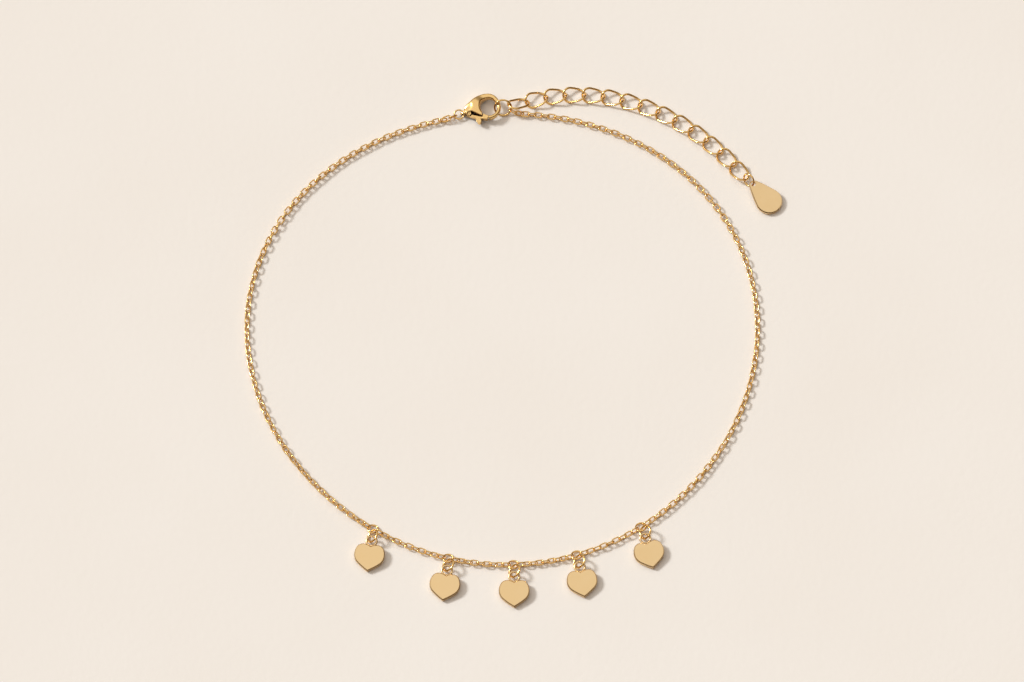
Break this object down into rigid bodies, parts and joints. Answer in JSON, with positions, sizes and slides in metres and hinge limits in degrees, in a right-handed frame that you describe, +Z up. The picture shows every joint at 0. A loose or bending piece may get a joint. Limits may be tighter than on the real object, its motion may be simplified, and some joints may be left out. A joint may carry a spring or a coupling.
{
  "type": "charm anklet",
  "caption": "Fine gold cable chain anklet with flat heart charms on jump rings, a lobster clasp and a curb-link extender ending in a drop-shaped tag.",
  "frame": {"origin": "middle of the ankle loop, on the surface the anklet lies on", "axes": "+Z up from the surface, +Y from the heart charms to the clasp, +X towards the extender's side"},
  "size_m": [0.0857, 0.0921, 0.0023],
  "materials": {
    "gold_chain": "polished yellow gold plating",
    "gold_charm": "smooth satin yellow gold plating",
    "gold_clasp": "polished yellow gold plating"
  },
  "bodies": {
    "root": {"main_chain": "gold_chain", "jump_ring_1": "gold_chain", "jump_ring_2": "gold_chain", "jump_ring_3": "gold_chain", "jump_ring_4": "gold_chain", "jump_ring_5": "gold_chain", "heart_charm_1": "gold_charm", "heart_charm_2": "gold_charm", "heart_charm_3": "gold_charm", "heart_charm_4": "gold_charm", "heart_charm_5": "gold_charm", "extender_link_01": "gold_chain", "extender_link_02": "gold_chain", "extender_link_03": "gold_chain", "extender_link_04": "gold_chain", "extender_link_05": "gold_chain", "extender_link_06": "gold_chain", "extender_link_07": "gold_chain", "extender_link_08": "gold_chain", "extender_link_09": "gold_chain", "extender_link_10": "gold_chain", "extender_link_11": "gold_chain", "extender_link_12": "gold_chain", "extender_link_13": "gold_chain", "extender_link_14": "gold_chain", "closing_ring": "gold_chain", "clasp_body": "gold_clasp", "clasp_pin": "gold_clasp", "clasp_ring": "gold_chain", "tag_ring": "gold_chain", "end_tag": "gold_charm"},
    "lever": {"clasp_lever": "gold_clasp"}
  },
  "joints": [
    {"name": "lever_pivot", "type": "hinge", "parent": "root", "child": "lever", "pos_m": [-0.00557, 0.03929, 0.00078], "axis": [-0.0682, -0.0145, 0.9976], "range_deg": [0, 12], "stiffness_Nm_per_rad": 0.0001, "springref_deg": -2.86}
  ]
}
